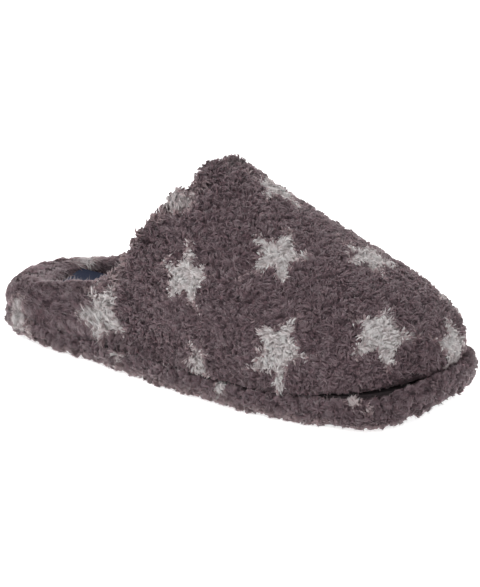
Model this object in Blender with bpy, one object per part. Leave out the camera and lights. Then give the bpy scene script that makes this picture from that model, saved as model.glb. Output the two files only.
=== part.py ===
import math
from collections import namedtuple

import bmesh
import bpy
import numpy as np

# millimetres: X runs from heel to toe, Y from the outer to the inner side of the foot, Z up
MM = 0.001
LENGTH = 264.0
GAP = 0.3

OUTSOLE_THICK = 3.0
CORE_INSET = 7.6
PLATFORM_TOP = 15.6
TOE_SPRING = 8.5
SPRING_START = 0.77

WRAP_LOW = 1.2
WRAP_INNER = 7.3
SEAM_INSET = 3.2

UPPER_WALL = 8.0
SEAM_TUCK = 2.5
SEAM_TUCK_HEIGHT = 5.0
COLLAR_ROLL = 1.8
COLLAR_ROLL_LENGTH = 9.0

HEEL_WALL = 13.0
HEEL_WALL_END = 9.0
HEEL_WALL_TAPER = 45.0
HEEL_TOP_BACK = 29.0
HEEL_TOP_SIDE = 45.0
HEEL_LEAN_BACK = 1.5
HEEL_LEAN_SIDE = 5.0
HEEL_LEAN_GROWS = 50.0
HEEL_LEAN_FROM = 0.5

INSOLE_HEEL_THICK = 11.0
INSOLE_TOE_THICK = 6.0
INSOLE_CUP = 2.0
INSOLE_HEEL_INSET = 16.8
INSOLE_TOE_INSET = 12.0
INSOLE_WIDENS = 40.0
INSOLE_WIDENS_FROM = -85.0

LABEL_X = -88.0
LABEL_LENGTH = 28.0
LABEL_WIDTH = 31.0
LABEL_THICK = 0.8

# where the vamp starts at the sides, and where its collar peaks, from the middle of the length
SIDE_SEAM_X = -53.0
COLLAR_PEAK_X = -8.5
COLLAR_SIDE = 0.30
COLLAR_SWEEP = 1.05
RIDGE_SHIFT = 8.5
RIDGE_SHIFT_FADE = 38.0
ARCH_POWER = 2.35

# half widths of the plan outline to the outer and the inner side
Plan = namedtuple("Plan", "share outer inner")
PLAN = (
    Plan(0.00, 32.5, 32.5),
    Plan(0.14, 34.0, 34.0),
    Plan(0.36, 43.2, 38.2),
    Plan(0.66, 55.2, 49.0),
    Plan(0.82, 55.2, 46.8),
    Plan(1.00, 51.0, 46.0),
)
HEEL_CAP = 0.15
HEEL_POWER = 2.4
TOE_CAP = 0.29
TOE_POWER = 2.42
TOE_LEAN = 2.8
LEAN_START = 0.45

# height of the vamp's ridge, by share of the way from the collar peak to the toe
Ridge = namedtuple("Ridge", "share height")
RIDGE = (
    Ridge(-0.60, 105.0),
    Ridge(0.00, 107.0),
    Ridge(0.15, 97.5),
    Ridge(0.35, 84.3),
    Ridge(0.70, 63.8),
    Ridge(0.88, 54.8),
    Ridge(1.00, 51.0),
)
RIDGE_CAP = 0.765
RIDGE_POWER = 2.5

# section of the fleece band: inset from the outline, height as a share of the band
Band = namedtuple("Band", "inset height")
BAND = (
    Band(WRAP_INNER, 0.00),
    Band(3.5, 0.00),
    Band(1.2, 0.10),
    Band(0.2, 0.30),
    Band(0.0, 0.55),
    Band(0.8, 0.80),
    Band(2.8, 0.96),
    Band(4.5, 1.00),
    Band(WRAP_INNER, 1.00),
)

# section of the heel roll: inset as a share of its wall, height as a share of its rise
Roll = namedtuple("Roll", "inset height")
ROLL = (
    Roll(0.12, 0.00),
    Roll(0.00, 0.16),
    Roll(-0.04, 0.40),
    Roll(0.04, 0.66),
    Roll(0.22, 0.90),
    Roll(0.48, 1.00),
    Roll(0.76, 0.91),
    Roll(0.95, 0.66),
    Roll(1.00, 0.36),
    Roll(1.00, 0.00),
)

CURVE_STEPS = 1200
RING_STEPS = 96
HEEL_STEPS = 48
STRIP_STEPS = 36
INSOLE_ACROSS = 10
ARCH_STEPS = 44
VAMP_STEPS = 24
EDGE_STEPS = 4
TIP_FLAT = 0.15
SHARP_ANGLE = 50

# base colour, linear red, green and blue, and roughness
Finish = namedtuple("Finish", "red green blue roughness")
FINISHES = {
    "outsole": Finish(0.020, 0.019, 0.021, 0.70),
    "platform_midsole": Finish(0.300, 0.280, 0.270, 0.80),
    "platform_wrap": Finish(0.118, 0.090, 0.096, 0.95),
    "insole": Finish(0.070, 0.056, 0.062, 0.95),
    "heel_collar": Finish(0.125, 0.094, 0.101, 0.95),
    "upper": Finish(0.110, 0.084, 0.090, 0.95),
    "insole_label": Finish(0.032, 0.040, 0.080, 0.75),
}


def along(table, column, share):
    """Smooth curve without overshoot through one column of a table."""
    x = np.array([row.share for row in table])
    y = np.array([getattr(row, column) for row in table])
    step = np.diff(x)
    slope = np.diff(y) / step
    tangent = np.zeros(len(x))
    tangent[0] = slope[0]
    tangent[-1] = slope[-1]
    for k in range(1, len(x) - 1):
        if slope[k - 1] * slope[k] > 0:
            before = 2 * step[k] + step[k - 1]
            after = step[k] + 2 * step[k - 1]
            tangent[k] = (before + after) / (before / slope[k - 1] + after / slope[k])
    share = np.clip(np.asarray(share, float), x[0], x[-1])
    k = np.clip(np.searchsorted(x, share, side="right") - 1, 0, len(x) - 2)
    t = (share - x[k]) / step[k]
    return (
        y[k] * (1 + 2 * t) * (1 - t) ** 2
        + tangent[k] * step[k] * t * (1 - t) ** 2
        + y[k + 1] * t * t * (3 - 2 * t)
        + tangent[k + 1] * step[k] * t * t * (t - 1)
    )


def cap(over, power):
    """Quarter of a rounded square: 1 where a cap starts and 0 at its tip."""
    return (1 - np.clip(over, 0, 1) ** power) ** (1 / power)


def ease(t):
    """Smooth step from 0 to 1."""
    t = np.clip(t, 0, 1)
    return t * t * (3 - 2 * t)


def raw_outline(steps):
    """Plan outline from the heel round the outer side, the toe and the inner side."""
    turn = np.linspace(0, 2 * math.pi, steps, endpoint=False)
    share = (1 - np.cos(turn)) / 2
    outer_side = turn < math.pi
    half = np.where(outer_side, along(PLAN, "outer", share), along(PLAN, "inner", share))
    half = half * cap((HEEL_CAP - share) / HEEL_CAP, HEEL_POWER)
    half = half * cap((share - 1 + TOE_CAP) / TOE_CAP, TOE_POWER)
    lean = TOE_LEAN * np.clip((share - LEAN_START) / (1 - LEAN_START), 0, 1) ** 2
    return np.stack([(share - 0.5) * LENGTH, lean + np.where(outer_side, -half, half)], axis=1)


# sideways shift that sets the origin midway between the widest points
CENTRE_Y = float(np.ptp(raw_outline(CURVE_STEPS)[:, 1]) / 2 + raw_outline(CURVE_STEPS)[:, 1].min())


def outline(steps, inset):
    """The plan outline set in by inset, a distance or a function of X."""
    points = raw_outline(steps) - np.array([0.0, CENTRE_Y])
    ahead = np.roll(points, -1, axis=0) - np.roll(points, 1, axis=0)
    ahead /= np.linalg.norm(ahead, axis=1)[:, None]
    inward = np.stack([-ahead[:, 1], ahead[:, 0]], axis=1)
    distance = inset(points[:, 0]) if callable(inset) else inset
    return points + np.reshape(distance, (-1, 1)) * inward


def sides(inset):
    """The outer and the inner side of an inset outline, each from heel to toe."""
    points = outline(CURVE_STEPS, inset)
    points = np.roll(points, -int(np.argmin(points[:, 0])), axis=0)
    tip = int(np.argmax(points[:, 0]))
    return points[: tip + 1], points[tip:][::-1]


def spring(x):
    """Rise of the sole towards the toe."""
    over = (x / LENGTH + 0.5 - SPRING_START) / (1 - SPRING_START)
    return TOE_SPRING * np.clip(over, 0, 1) ** 2


def spread(line, count):
    """Points at even steps along an open line."""
    step = np.linalg.norm(np.diff(line, axis=0), axis=1)
    length = np.concatenate([[0.0], np.cumsum(step)])
    spot = np.linspace(0, length[-1], count)
    return np.stack([np.interp(spot, length, line[:, k]) for k in range(2)], axis=1)


def grid_faces(rows, columns, wrap_rows=False, wrap_columns=False):
    """Quads over a grid of points, closed round either way where asked."""
    faces = []
    for i in range(rows if wrap_rows else rows - 1):
        for j in range(columns if wrap_columns else columns - 1):
            here = i * columns
            there = (i + 1) % rows * columns
            beside = (j + 1) % columns
            faces.append((here + j, here + beside, there + beside, there + j))
    return faces


def add_solid(name, points, faces):
    """One closed named solid with its normals outward and its own material."""
    mesh = bpy.data.meshes.new(name)
    mesh.from_pydata([tuple(float(v) * MM for v in point) for point in points], [], faces)
    work = bmesh.new()
    work.from_mesh(mesh)
    bmesh.ops.recalc_face_normals(work, faces=work.faces)
    if work.calc_volume(signed=True) < 0:
        bmesh.ops.reverse_faces(work, faces=work.faces)
    work.to_mesh(mesh)
    work.free()
    finish = FINISHES[name]
    material = bpy.data.materials.new(name)
    material.use_nodes = True
    shader = material.node_tree.nodes["Principled BSDF"]
    shader.inputs["Base Color"].default_value = (finish.red, finish.green, finish.blue, 1)
    shader.inputs["Roughness"].default_value = finish.roughness
    shader.inputs["Metallic"].default_value = 0
    mesh.materials.append(material)
    mesh.shade_smooth()
    mesh.set_sharp_from_angle(angle=math.radians(SHARP_ANGLE))
    part = bpy.data.objects.new(name, mesh)
    group.objects.link(part)
    return part


def closed_sheet(name, lower, upper):
    """A solid between two grids of points that have the same rows and columns."""
    rows, columns = lower.shape[:2]
    size = rows * columns
    bottom = [tuple(reversed(face)) for face in grid_faces(rows, columns)]
    top = [tuple(i + size for i in face) for face in grid_faces(rows, columns)]
    rim = [i * columns for i in range(rows)]
    rim += [(rows - 1) * columns + j for j in range(1, columns)]
    rim += [i * columns + columns - 1 for i in range(rows - 2, -1, -1)]
    rim += list(range(columns - 2, 0, -1))
    side = [(a, b, b + size, a + size) for a, b in zip(rim, rim[1:] + rim[:1])]
    points = np.concatenate([lower.reshape(-1, 3), upper.reshape(-1, 3)])
    return add_solid(name, points, bottom + top + side)


def sole_layer(name, inset, across, low, high):
    """A layer cut to an inset outline, its two heights given over X and the share across."""
    outer, inner = sides(inset)
    turn = np.linspace(0.04 * math.pi, 0.96 * math.pi, STRIP_STEPS + 1)
    x = outer[0, 0] + (outer[-1, 0] - outer[0, 0]) * (1 - np.cos(turn)) / 2
    x[0] = outer[0, 0] + TIP_FLAT
    x[-1] = outer[-1, 0] - TIP_FLAT
    y_outer = np.interp(x, outer[:, 0], outer[:, 1])[:, None]
    y_inner = np.interp(x, inner[:, 0], inner[:, 1])[:, None]
    share = np.linspace(-1, 1, across + 1)[None, :]
    y = (y_outer + y_inner) / 2 + share * (y_inner - y_outer) / 2
    x = np.repeat(x[:, None], across + 1, axis=1)
    share = np.repeat(share, len(x), axis=0)
    lower = np.stack([x, y, low(x, share) + spring(x)], axis=-1)
    upper = np.stack([x, y, high(x, share) + spring(x)], axis=-1)
    return closed_sheet(name, lower, upper)


def level(height):
    """A flat height for sole_layer."""
    return lambda x, share: np.full(x.shape, height)


def insole_inset(x):
    """The footbed is narrower between the heel roll than inside the vamp."""
    wider = ease((x - INSOLE_WIDENS_FROM) / INSOLE_WIDENS)
    return INSOLE_HEEL_INSET + (INSOLE_TOE_INSET - INSOLE_HEEL_INSET) * wider


def insole_top(x, share):
    """Upper face of the footbed, thicker under the heel and raised at its edges."""
    thick = INSOLE_HEEL_THICK + (INSOLE_TOE_THICK - INSOLE_HEEL_THICK) * ease(x / LENGTH + 0.5)
    return PLATFORM_TOP + GAP + thick - INSOLE_CUP * (1 - np.abs(share) ** 3)


def add_label():
    """Bare woven patch that follows the footbed's heel seat."""
    outer, inner = sides(insole_inset)
    x, y = np.meshgrid(
        LABEL_X + LABEL_LENGTH * np.linspace(-0.5, 0.5, 5),
        LABEL_WIDTH * np.linspace(-0.5, 0.5, 9),
        indexing="ij",
    )
    y_outer = np.interp(x, outer[:, 0], outer[:, 1])
    y_inner = np.interp(x, inner[:, 0], inner[:, 1])
    y = y + (y_outer + y_inner) / 2
    share = (2 * y - y_outer - y_inner) / (y_inner - y_outer)
    low = insole_top(x, share) + spring(x) + GAP
    lower = np.stack([x, y, low], axis=-1)
    upper = np.stack([x, y, low + LABEL_THICK], axis=-1)
    return closed_sheet("insole_label", lower, upper)


def add_wrap():
    """The fleece band round the platform, a closed ring."""
    points = []
    for row in BAND:
        ring = outline(RING_STEPS, row.inset)
        z = WRAP_LOW + (PLATFORM_TOP - WRAP_LOW) * row.height + spring(ring[:, 0])
        points.append(np.column_stack([ring, z]))
    faces = grid_faces(len(BAND), RING_STEPS, wrap_rows=True, wrap_columns=True)
    return add_solid("platform_wrap", np.concatenate(points), faces)


def heel_wall(x):
    """The roll is thickest at the back and thins to its ends."""
    thinner = ease((x - SIDE_SEAM_X) / HEEL_WALL_TAPER + 1)
    return HEEL_WALL + (HEEL_WALL_END - HEEL_WALL) * thinner


def heel_lean(x, height):
    """How far the roll sags inward at a share of its rise, least at the back."""
    sides_share = ease((x + LENGTH / 2) / HEEL_LEAN_GROWS)
    lean = HEEL_LEAN_BACK + (HEEL_LEAN_SIDE - HEEL_LEAN_BACK) * sides_share
    return lean * ease((height - HEEL_LEAN_FROM) / (1 - HEEL_LEAN_FROM))


def add_heel():
    """The padded roll round the heel, from one side seam to the other."""
    end = SIDE_SEAM_X - GAP
    base = PLATFORM_TOP + GAP
    around = np.abs(np.linspace(-1, 1, HEEL_STEPS + 1))
    top = HEEL_TOP_BACK + (HEEL_TOP_SIDE - HEEL_TOP_BACK) * around ** 1.6
    rows = []
    for row in ROLL:
        outer, inner = sides(
            lambda x: SEAM_INSET + heel_wall(x) * row.inset + heel_lean(x, row.height)
        )
        first = [[end, np.interp(end, outer[:, 0], outer[:, 1])]]
        last = [[end, np.interp(end, inner[:, 0], inner[:, 1])]]
        outer = outer[outer[:, 0] < end - 0.01]
        inner = inner[inner[:, 0] < end - 0.01]
        line = spread(np.concatenate([first, outer[::-1], inner[1:], last]), HEEL_STEPS + 1)
        rows.append(np.column_stack([line, base + (top - base) * row.height]))
    columns = HEEL_STEPS + 1
    faces = grid_faces(len(rows), columns, wrap_rows=True)
    for j in (0, columns - 1):
        faces.append(tuple(i * columns + j for i in range(len(rows))))
    return add_solid("heel_collar", np.concatenate(rows), faces)


def collar_x(arch):
    """X of the vamp's back edge at an arch angle: straight at the sides, swept up to the peak."""
    over = np.clip((np.sin(arch) - COLLAR_SIDE) / (1 - COLLAR_SIDE), 0, 1)
    return SIDE_SEAM_X + (COLLAR_PEAK_X - SIDE_SEAM_X) * over ** COLLAR_SWEEP


def vamp_skin(depth, tuck, roll):
    """Rows of points from the collar to the toe on the vamp's skin, a depth below its face."""
    arch = np.linspace(0, math.pi, ARCH_STEPS + 1)
    cos = np.cos(arch)
    sin = np.clip(np.sin(arch), 0, 1)
    start = collar_x(arch)
    outer, inner = sides(SEAM_INSET + depth)
    tip = outer[-1, 0]
    full = LENGTH / 2 - SEAM_INSET - COLLAR_PEAK_X
    tip_share = (tip - COLLAR_PEAK_X) / full
    rows = []
    for k in range(VAMP_STEPS + 1):
        x = start + (tip - TIP_FLAT - start) * math.sin(0.5 * math.pi * k / VAMP_STEPS)
        share = (x - COLLAR_PEAK_X) / full
        base = PLATFORM_TOP + GAP + spring(x)
        high = (along(RIDGE, "height", share) - depth - base)
        high = high * cap((share - RIDGE_CAP) / (tip_share - RIDGE_CAP), RIDGE_POWER)
        rise = high * sin ** (2 / ARCH_POWER)
        y_outer = np.interp(x, outer[:, 0], outer[:, 1])
        y_inner = np.interp(x, inner[:, 0], inner[:, 1])
        half = (y_inner - y_outer) / 2
        half = half - np.minimum(tuck, half / 2) * np.exp(-rise / SEAM_TUCK_HEIGHT)
        swell = roll * np.exp(-(((x - start) / COLLAR_ROLL_LENGTH) ** 2)) * ease(sin / COLLAR_SIDE - 1)
        y = (y_outer + y_inner) / 2 + RIDGE_SHIFT * sin ** 2 * ease(half / RIDGE_SHIFT_FADE)
        y = y - (half * np.abs(cos) ** (2 / ARCH_POWER) + swell * np.abs(cos)) * np.sign(cos)
        rows.append(np.stack([x, y, base + rise + swell * sin], axis=-1))
    return rows


def add_upper():
    """The hollow vamp: outer skin, rolled collar edge and inner skin, open underneath."""
    outer = vamp_skin(0.0, SEAM_TUCK, COLLAR_ROLL)
    inner = vamp_skin(UPPER_WALL, 0.0, 0.0)
    columns = ARCH_STEPS + 1
    arch = np.linspace(0, math.pi, columns)
    free = ease((np.sin(arch) - COLLAR_SIDE) / 0.2)[:, None]
    middle = (outer[0] + inner[0]) / 2
    back = outer[0] - outer[1]
    back /= np.linalg.norm(back, axis=1)[:, None]
    reach = np.linalg.norm(outer[0] - inner[0], axis=1)[:, None] / 2
    edge = []
    for k in range(1, EDGE_STEPS + 1):
        angle = math.pi * k / (EDGE_STEPS + 1)
        bulge = back * reach * free * math.sin(angle)
        edge.append(middle + (outer[0] - middle) * math.cos(angle) + bulge)
    loop = outer[::-1] + edge + inner
    rows = len(loop)
    faces = grid_faces(rows, columns)
    last_outer = VAMP_STEPS
    first_inner = VAMP_STEPS + 1 + EDGE_STEPS
    for j in (0, columns - 1):
        for k in range(1, VAMP_STEPS):
            strip = (last_outer - k, last_outer - k - 1, first_inner + k + 1, first_inner + k)
            faces.append(tuple(i * columns + j for i in strip))
        corner = range(last_outer - 1, first_inner + 2)
        faces.append(tuple(i * columns + j for i in corner))
    tip_outer = list(range(columns))
    tip_inner = [(rows - 1) * columns + j for j in range(columns)]
    faces.append(tuple(tip_outer))
    faces.append(tuple(tip_inner))
    faces.append((tip_outer[0], tip_outer[-1], tip_inner[-1], tip_inner[0]))
    return add_solid("upper", np.concatenate(loop), faces)


for old in list(bpy.data.objects):
    bpy.data.objects.remove(old, do_unlink=True)
group = bpy.data.collections.new("scuff_slipper")
bpy.context.scene.collection.children.link(group)

core_low = OUTSOLE_THICK + GAP
sole_layer("outsole", CORE_INSET, 2, level(0.0), level(OUTSOLE_THICK))
sole_layer("platform_midsole", CORE_INSET, 2, level(core_low), level(PLATFORM_TOP))
add_wrap()
sole_layer("insole", insole_inset, INSOLE_ACROSS, level(PLATFORM_TOP + GAP), insole_top)
add_label()
add_heel()
add_upper()
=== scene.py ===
import math

import bmesh
import bpy
import numpy as np
from mathutils import Matrix, Vector
from mathutils.bvhtree import BVHTree
from mathutils.kdtree import KDTree


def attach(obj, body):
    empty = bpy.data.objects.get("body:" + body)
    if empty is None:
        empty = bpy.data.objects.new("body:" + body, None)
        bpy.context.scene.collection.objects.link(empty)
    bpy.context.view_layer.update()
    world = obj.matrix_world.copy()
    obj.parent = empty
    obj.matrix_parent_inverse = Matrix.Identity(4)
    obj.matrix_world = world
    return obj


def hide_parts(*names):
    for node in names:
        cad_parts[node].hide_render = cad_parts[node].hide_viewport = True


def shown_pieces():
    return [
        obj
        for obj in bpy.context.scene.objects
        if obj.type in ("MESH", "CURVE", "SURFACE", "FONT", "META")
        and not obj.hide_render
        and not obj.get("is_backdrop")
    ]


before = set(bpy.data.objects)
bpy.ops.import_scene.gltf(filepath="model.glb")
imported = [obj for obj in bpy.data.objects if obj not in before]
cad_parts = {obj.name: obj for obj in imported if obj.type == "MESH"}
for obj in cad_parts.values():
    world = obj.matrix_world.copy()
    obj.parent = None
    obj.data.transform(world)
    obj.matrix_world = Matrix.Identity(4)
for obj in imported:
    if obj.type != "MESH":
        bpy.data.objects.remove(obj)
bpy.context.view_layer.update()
mm = 0.001
upright = np.array([0.0, 0.0, 1.0])
forward = np.array([1.0, 0.0, 0.0])  # towards the toe; the outer side of the foot has y below 0

# camera found from the photograph; right, up and back are its own axes
view = {
    "aim": (4.054, 4.490, 38.613),
    "distance": 2030,
    "lens": 244.7,
    "right": (0.857890525, 0.513819833, -0.003609032),
    "up": (-0.184872486, 0.315207359, 0.930841815),
    "back": (0.479422580, -0.797893163, 0.365404557),
}

studio = {
    "world": 0.75,
    "floorSize": 30.0,
    "floorColour": (0.93, 0.93, 0.93),
    "floorGlow": 0.75,
    "lamps": [  # place (m), aim (m), size (m), watts
        ((-0.5, -0.9, 1.5), (0, 0, 0.04), 1.1, 22),
        ((1.3, -0.9, 1.0), (0, 0, 0.04), 1.0, 9),
        ((0.2, 1.2, 1.3), (0, 0, 0.04), 1.2, 10),
    ],
}


def easeStep(low, high, values):
    # 0 at low, 1 at high, eased between
    share = np.clip((values - low) / (high - low), 0, 1)
    return share * share * (3 - 2 * share)


def hump(middle, reach, values):
    # 1 at the middle, fading to both sides
    return np.exp(-(((values - middle) / reach) ** 2))


def profile(start, rows, values):
    # a start, and rows of an amount, its curve and the curve's two places
    for amount, curve, first, second in rows:
        start = start + amount * curve(first, second, values)
    return start


def unit(vectors):
    return vectors / np.maximum(np.linalg.norm(vectors, axis=-1, keepdims=True), 1e-12)


def shove(way, amount):
    # moves of amount mm along way
    return way * (amount * mm)[:, None]


def waves(points, size, seed, count=14):
    # a smooth random swell through space, mostly -1 to 1, with bumps about size wide
    dice = np.random.default_rng(seed)
    way = unit(dice.normal(size=(count, 3)))
    pitch = math.pi / (size * dice.uniform(0.7, 1.5, count))
    phase = dice.uniform(0, 2 * math.pi, count)
    return np.cos(points @ (way.T * pitch) + phase).sum(1) / math.sqrt(count / 2)


def intoSkin(vectors, normals):
    # the part of each vector that lies along the surface
    return vectors - normals * (vectors * normals).sum(1, keepdims=True)


class Wire:  # one output socket; sums on it add Math nodes
    def __init__(self, finish, socket):
        self.finish = finish
        self.socket = socket

    def sums(self, operation, first, second=0.0, clamp=False):
        settings = {"operation": operation, "use_clamp": clamp}
        return self.finish.node("ShaderNodeMath", settings, {0: first, 1: second})

    def __add__(self, other):
        return self.sums("ADD", self, other)

    def __radd__(self, other):
        return self.sums("ADD", other, self)

    def __sub__(self, other):
        return self.sums("SUBTRACT", self, other)

    def __rsub__(self, other):
        return self.sums("SUBTRACT", other, self)

    def __mul__(self, other):
        return self.sums("MULTIPLY", self, other)

    def __rmul__(self, other):
        return self.sums("MULTIPLY", other, self)

    def clamped(self):
        return self.sums("ADD", self, 0.0, True)


class Finish:  # one material and its nodes
    def __init__(self, name, **fixed):
        self.material = bpy.data.materials.new(name)
        self.material.use_nodes = True
        self.tree = self.material.node_tree
        self.surface = next(n for n in self.tree.nodes if n.type == "BSDF_PRINCIPLED")
        for socket, value in fixed.items():
            self.surface.inputs[socket.replace("_", " ")].default_value = value

    def node(self, kind, settings, sockets, output=0):
        made = self.tree.nodes.new(kind)
        for key, value in settings.items():
            setattr(made, key, value)
        for key, value in sockets.items():
            self.plug(made.inputs[key], value)
        return Wire(self, made.outputs[output])

    def plug(self, socket, value):
        if isinstance(value, Wire):
            self.tree.links.new(value.socket, socket)
        elif isinstance(value, tuple) and socket.type == "RGBA":
            socket.default_value = (*value[:3], 1)
        else:
            socket.default_value = value

    def drive(self, name, value):
        self.plug(self.surface.inputs[name], value)

    def mark(self, name):
        return self.node("ShaderNodeAttribute", {"attribute_name": name}, {}, "Fac")

    def place(self):
        return self.node("ShaderNodeTexCoord", {}, {}, "Object")

    def noise(self, where, scale, detail=2.0):
        return self.node("ShaderNodeTexNoise", {}, {"Vector": where, "Scale": scale, "Detail": detail})

    def mix(self, share, first, second):
        return self.node("ShaderNodeMix", {"data_type": "RGBA"}, {0: share, 6: first, 7: second}, 2)

    def bump(self, height, strength, distance):
        return self.node("ShaderNodeBump", {}, {"Height": height, "Strength": strength, "Distance": distance})


# the fleece's colours: painted shade between the curls, then the pile, then the lighter colour painted on its tips as
# a painted highlight
fleece = {
    "taupe": ((0.016, 0.009, 0.011), (0.073, 0.0465, 0.053), (0.126, 0.086, 0.096)),
    "cream": ((0.20, 0.165, 0.165), (0.41, 0.375, 0.37), (0.52, 0.485, 0.475)),
    "rose": (0.195, 0.135, 0.138),  # where cream and taupe hairs mix
    "roughness": 0.9,
    "gloss": 0.25,
    "sheen": 0.12,
    "sheenRoughness": 0.45,
    "sheenTint": (0.95, 0.80, 0.80, 1),
    "glow": 0.6,  # light that goes through the pile
    "glowColour": (1.0, 0.8, 0.8),
    "glowDepth": 0.0016,
    "fine": 1400,  # scale of the hairs' own grain
    "patches": 160,  # scale of slightly paler and darker patches
    "grainShare": 0.22,
    "toneShare": 0.13,
    "bump": 0.15,
    "bumpHeight": 0.0004,
}


def fleeceFinish(name):
    look = Finish(
        name,
        Roughness=fleece["roughness"],
        Specular_IOR_Level=fleece["gloss"],
        Sheen_Weight=fleece["sheen"],
        Sheen_Roughness=fleece["sheenRoughness"],
        Sheen_Tint=fleece["sheenTint"],
        Subsurface_Weight=fleece["glow"],
        Subsurface_Radius=fleece["glowColour"],
        Subsurface_Scale=fleece["glowDepth"],
    )
    place = look.place()
    fine = look.noise(place, fleece["fine"])
    patchy = look.noise(place, fleece["patches"])
    grain = fleece["grainShare"]
    rise, tone, star = (look.mark(mark) for mark in ("rise", "tone", "star"))
    # rise carries painted shade and painted highlight: low in creases, at roots and by seams, high at the tips; it
    # picks the painted-shade, pile or tip colour
    lift = (rise + (fine - 0.5) * grain + tone * fleece["toneShare"] + (patchy - 0.5) * grain).clamped()
    low = (lift * 2.0).clamped()
    high = (lift * 2.0 - 1.0).clamped()
    taupe, cream = (
        look.mix(high, look.mix(low, paintedShade, middle), tip) for paintedShade, middle, tip in (fleece["taupe"], fleece["cream"])
    )
    rose = look.mix(low, fleece["taupe"][1], fleece["rose"])
    half = (star * 2.0).clamped()
    rest = (star * 2.0 - 1.0).clamped()
    look.drive("Base Color", look.mix(rest, look.mix(half, taupe, rose), cream))
    look.drive("Normal", look.bump(fine, fleece["bump"], fleece["bumpHeight"]))
    return look.material


starPrint = {
    "notch": 0.49,  # how far the inner corners stand from the middle
    "ragged": [(1.4, 0.5, 31), (4.5, 0.75, 32)],  # size of the waves in mm, how strong, and their seed
    "edge": (-1.7, 1.3),  # mm over which the edge fades
    "depth": 15,  # mm that a star reaches through the cloth
    "stray": 0.75,  # mm that strands are pushed about at the edges, so that the two colours mix
    # pieces that show the star, its middle and one tip in mm, reach along that tip and across it
    "stars": [
        ("vamp", (-2.6, -37.8, 60.2), (-2.2, -33.4, 73.5), 15.5, 15.5),
        ("vamp", (41, -20.8, 75), (39.7, -5.6, 82.7), 16.5, 15.5),
        ("vamp", (74.7, 12.9, 68.9), (64.3, 13, 73.2), 16, 15),
        ("vamp", (102.2, -24.5, 45.8), (99.6, -10.4, 56.2), 17.5, 17),
        ("vamp", (55.2, -45.5, 35.2), (61.5, -38.7, 51.6), 20.5, 16),
        ("vamp", (9.5, -44.2, 20.5), (5.0, -44.6, 28), 9, 8),
        ("vamp", (18.5, 18, 93), (27, 16, 88.5), 14.5, 13),
        ("vamp", (128.2, 5.8, 33), (122.1, 9.5, 44.5), 16.5, 14.5),
        ("heel_roll vamp", (-56.4, -32.5, 29.5), (-65.4, -24, 42), 20.5, 18.5),
        ("band", (24, -50.5, 12.4), (27, -50.5, 14), 6.5, 6),
        ("band", (-43.3, -39.4, 9.4), (-43, -39, 14), 6.5, 2.6),
        # the inner side of the foot
        ("vamp", (50, 42, 56), (52, 36, 68), 15.6, 15.6),
        ("vamp", (86, 43, 30), (88, 38, 42), 15.6, 15.6),
        ("vamp", (8, 40, 66), (10, 36, 79), 15.6, 15.6),
        ("vamp band", (35, 47, 30), (37, 44, 43), 15.6, 15.6),
        ("vamp", (-35, 33, 60), (-33, 29, 73), 15.6, 15.6),
        ("vamp", (-10, 45, 35), (-8, 42, 48), 15.6, 15.6),
        ("vamp", (108, 30, 42), (109, 22, 51), 13, 13),
        ("heel_roll band", (-70, 38, 20), (-72, 33, 32), 15, 15),
    ],
    # paler patches, on parts of stars and along the collar's edge: piece, middle and reach in mm, and how pale
    "patches": [
        ("vamp", (-17, -21, 94), (9.5, 9.5, 9), 0.85),
        ("vamp", (-9, -14, 101), (5, 5, 4), 0.35),
        ("vamp", (-26, -26, 87), (4, 4, 8), 0.42),
        ("vamp", (-35, -29.5, 76), (4, 4, 10), 0.38),
        ("vamp", (-43, -32, 62), (4, 4, 11), 0.42),
        ("vamp", (-47, -33, 48), (4, 4, 11), 0.46),
        ("vamp", (-53.5, -30.5, 40), (6, 5, 8), 0.75),
        ("band", (-111, -26, 12), (9, 8, 7), 0.90),
        ("heel_roll", (-113, -25, 19), (7, 7, 6), 0.85),
        ("band", (-102, -30.5, 7), (2.5, 3, 7), 0.70),
        ("heel_roll", (-105, 20, 32), (14, 7, 5), 0.80),
        ("band", (96.1, -43.5, 15), (5, 4, 2.6), 0.75),
        ("band", (104.2, -41.5, 12.3), (3.2, 3, 3), 0.65),
        ("heel_roll", (-72, -26, 39), (14, 5, 3.5), 0.60),
        ("vamp", (-48, -32, 46), (4, 7, 13), 0.55),
    ],
    "patchEdge": (0.45, 1.15),
    "paintedBottomLight": 0.3,  # painted highlight: the bottom edge of the band is painted paler pinkish, fading between these heights
    "paintedBottomHeights": (2.5, 8),
}


def seatStars():
    # each star lies on the nearest surface, in that surface's own plane
    seats = []
    for pieces, middle, tip, long, wide in starPrint["stars"]:
        found = [skins[name].find_nearest(Vector(middle) * mm) for name in pieces.split()]
        spot, facing, _, _ = min(found, key=lambda hit: hit[3])
        up = Vector(tip) * mm - spot
        up = (up - facing * up.dot(facing)).normalized()
        seats.append((pieces.split(), *[np.array(v) for v in (spot, up.cross(facing), up, facing)], long, wide))
    return seats


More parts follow.
